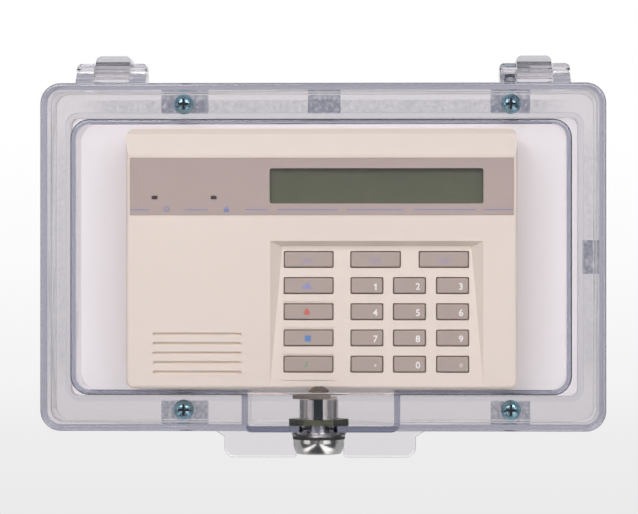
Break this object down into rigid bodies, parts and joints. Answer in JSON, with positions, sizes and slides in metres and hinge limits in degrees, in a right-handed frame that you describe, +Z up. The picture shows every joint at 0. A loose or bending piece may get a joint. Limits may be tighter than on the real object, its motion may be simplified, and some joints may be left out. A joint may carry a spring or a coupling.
{
  "type": "keypad protective cover",
  "caption": "Clear hinged guard over a wall keypad: screwed base frame, domed window cover with cam lock and lift tabs, and a beige keypad with display, grille and sliding keys.",
  "frame": {"origin": "centre of the frame's outline on the wall face", "axes": "+X to the viewer's right, +Z up, +Y into the wall, so the front faces -Y"},
  "size_m": [0.2486, 0.098, 0.1785],
  "materials": {
    "clear_polycarbonate": "clear, polished, faint blue at the edges",
    "pale_plate": "smooth moulded plate",
    "zinc_steel": "bright zinc plate",
    "lock_nickel": "polished nickel plate",
    "black_rubber": "moulded rubber",
    "olive_zinc": "olive zinc plate",
    "cam_zinc": "dull zinc plate",
    "beige_plastic": "fine moulded texture",
    "taupe_print": "satin printed film",
    "smoke_window": "clear smoked lens",
    "display_olive": "unlit reflective display",
    "dark_lamp": "dark red lens",
    "black_cone": "paper cone in a steel basket",
    "board_green": "solder mask",
    "mat_rubber": "silicone rubber",
    "key_plastic": "fine moulded texture"
  },
  "bodies": {
    "base": {"mounting_frame": "clear_polycarbonate", "backing_plate": "pale_plate", "wall_screws": "zinc_steel", "hinge_pin_left": "clear_polycarbonate", "hinge_pin_right": "clear_polycarbonate", "keypad_base": "beige_plastic", "keypad_housing": "beige_plastic", "keypad_overlay": "taupe_print", "display_window": "smoke_window", "lcd_module": "display_olive", "indicator_lamps": "dark_lamp", "speaker": "black_cone", "circuit_board": "board_green", "key_mat": "mat_rubber", "keypad_screws": "zinc_steel", "board_screws": "zinc_steel"},
    "cover": {"cover_shell": "clear_polycarbonate", "lock_body": "lock_nickel", "lock_washer": "black_rubber", "lock_nut": "olive_zinc"},
    "lock_turn": {"lock_plug": "lock_nickel", "lock_cam": "cam_zinc", "cam_screw": "cam_zinc"},
    "key_function_1_press": {"key_function_1": "key_plastic"},
    "key_function_2_press": {"key_function_2": "key_plastic"},
    "key_function_3_press": {"key_function_3": "key_plastic"},
    "key_function_4_press": {"key_function_4": "key_plastic"},
    "key_function_5_press": {"key_function_5": "key_plastic"},
    "key_wide_left_press": {"key_wide_left": "key_plastic"},
    "key_wide_right_press": {"key_wide_right": "key_plastic"},
    "key_1_press": {"key_1": "key_plastic"},
    "key_2_press": {"key_2": "key_plastic"},
    "key_3_press": {"key_3": "key_plastic"},
    "key_4_press": {"key_4": "key_plastic"},
    "key_5_press": {"key_5": "key_plastic"},
    "key_6_press": {"key_6": "key_plastic"},
    "key_7_press": {"key_7": "key_plastic"},
    "key_8_press": {"key_8": "key_plastic"},
    "key_9_press": {"key_9": "key_plastic"},
    "key_star_press": {"key_star": "key_plastic"},
    "key_0_press": {"key_0": "key_plastic"},
    "key_hash_press": {"key_hash": "key_plastic"}
  },
  "joints": [
    {"name": "cover_hinge", "type": "hinge", "parent": "base", "child": "cover", "pos_m": [0, -0.028, 0.0812], "axis": [-1, 0, 0], "range_deg": [0, 120]},
    {"name": "lock_key_turn", "type": "hinge", "parent": "cover", "child": "lock_turn", "pos_m": [-0.0015, -0.045, -0.0614], "axis": [0, 0, 1], "range_deg": [0, 180]},
    {"name": "key_function_1_travel", "type": "slide", "parent": "base", "child": "key_function_1_press", "axis": [0, 0.997, -0.0778], "range_m": [0, 0.0012], "stiffness_N_per_m": 300, "springref_m": -0.0006},
    {"name": "key_function_2_travel", "type": "slide", "parent": "base", "child": "key_function_2_press", "axis": [0, 0.997, -0.0778], "range_m": [0, 0.0012], "stiffness_N_per_m": 300, "springref_m": -0.0006},
    {"name": "key_function_3_travel", "type": "slide", "parent": "base", "child": "key_function_3_press", "axis": [0, 0.997, -0.0778], "range_m": [0, 0.0012], "stiffness_N_per_m": 300, "springref_m": -0.0006},
    {"name": "key_function_4_travel", "type": "slide", "parent": "base", "child": "key_function_4_press", "axis": [0, 0.997, -0.0778], "range_m": [0, 0.0012], "stiffness_N_per_m": 300, "springref_m": -0.0006},
    {"name": "key_function_5_travel", "type": "slide", "parent": "base", "child": "key_function_5_press", "axis": [0, 0.997, -0.0778], "range_m": [0, 0.0012], "stiffness_N_per_m": 300, "springref_m": -0.0006},
    {"name": "key_wide_left_travel", "type": "slide", "parent": "base", "child": "key_wide_left_press", "axis": [0, 0.997, -0.0778], "range_m": [0, 0.0012], "stiffness_N_per_m": 300, "springref_m": -0.0006},
    {"name": "key_wide_right_travel", "type": "slide", "parent": "base", "child": "key_wide_right_press", "axis": [0, 0.997, -0.0778], "range_m": [0, 0.0012], "stiffness_N_per_m": 300, "springref_m": -0.0006},
    {"name": "key_1_travel", "type": "slide", "parent": "base", "child": "key_1_press", "axis": [0, 0.997, -0.0778], "range_m": [0, 0.0012], "stiffness_N_per_m": 300, "springref_m": -0.0006},
    {"name": "key_2_travel", "type": "slide", "parent": "base", "child": "key_2_press", "axis": [0, 0.997, -0.0778], "range_m": [0, 0.0012], "stiffness_N_per_m": 300, "springref_m": -0.0006},
    {"name": "key_3_travel", "type": "slide", "parent": "base", "child": "key_3_press", "axis": [0, 0.997, -0.0778], "range_m": [0, 0.0012], "stiffness_N_per_m": 300, "springref_m": -0.0006},
    {"name": "key_4_travel", "type": "slide", "parent": "base", "child": "key_4_press", "axis": [0, 0.997, -0.0778], "range_m": [0, 0.0012], "stiffness_N_per_m": 300, "springref_m": -0.0006},
    {"name": "key_5_travel", "type": "slide", "parent": "base", "child": "key_5_press", "axis": [0, 0.997, -0.0778], "range_m": [0, 0.0012], "stiffness_N_per_m": 300, "springref_m": -0.0006},
    {"name": "key_6_travel", "type": "slide", "parent": "base", "child": "key_6_press", "axis": [0, 0.997, -0.0778], "range_m": [0, 0.0012], "stiffness_N_per_m": 300, "springref_m": -0.0006},
    {"name": "key_7_travel", "type": "slide", "parent": "base", "child": "key_7_press", "axis": [0, 0.997, -0.0778], "range_m": [0, 0.0012], "stiffness_N_per_m": 300, "springref_m": -0.0006},
    {"name": "key_8_travel", "type": "slide", "parent": "base", "child": "key_8_press", "axis": [0, 0.997, -0.0778], "range_m": [0, 0.0012], "stiffness_N_per_m": 300, "springref_m": -0.0006},
    {"name": "key_9_travel", "type": "slide", "parent": "base", "child": "key_9_press", "axis": [0, 0.997, -0.0778], "range_m": [0, 0.0012], "stiffness_N_per_m": 300, "springref_m": -0.0006},
    {"name": "key_star_travel", "type": "slide", "parent": "base", "child": "key_star_press", "axis": [0, 0.997, -0.0778], "range_m": [0, 0.0012], "stiffness_N_per_m": 300, "springref_m": -0.0006},
    {"name": "key_0_travel", "type": "slide", "parent": "base", "child": "key_0_press", "axis": [0, 0.997, -0.0778], "range_m": [0, 0.0012], "stiffness_N_per_m": 300, "springref_m": -0.0006},
    {"name": "key_hash_travel", "type": "slide", "parent": "base", "child": "key_hash_press", "axis": [0, 0.997, -0.0778], "range_m": [0, 0.0012], "stiffness_N_per_m": 300, "springref_m": -0.0006}
  ]
}
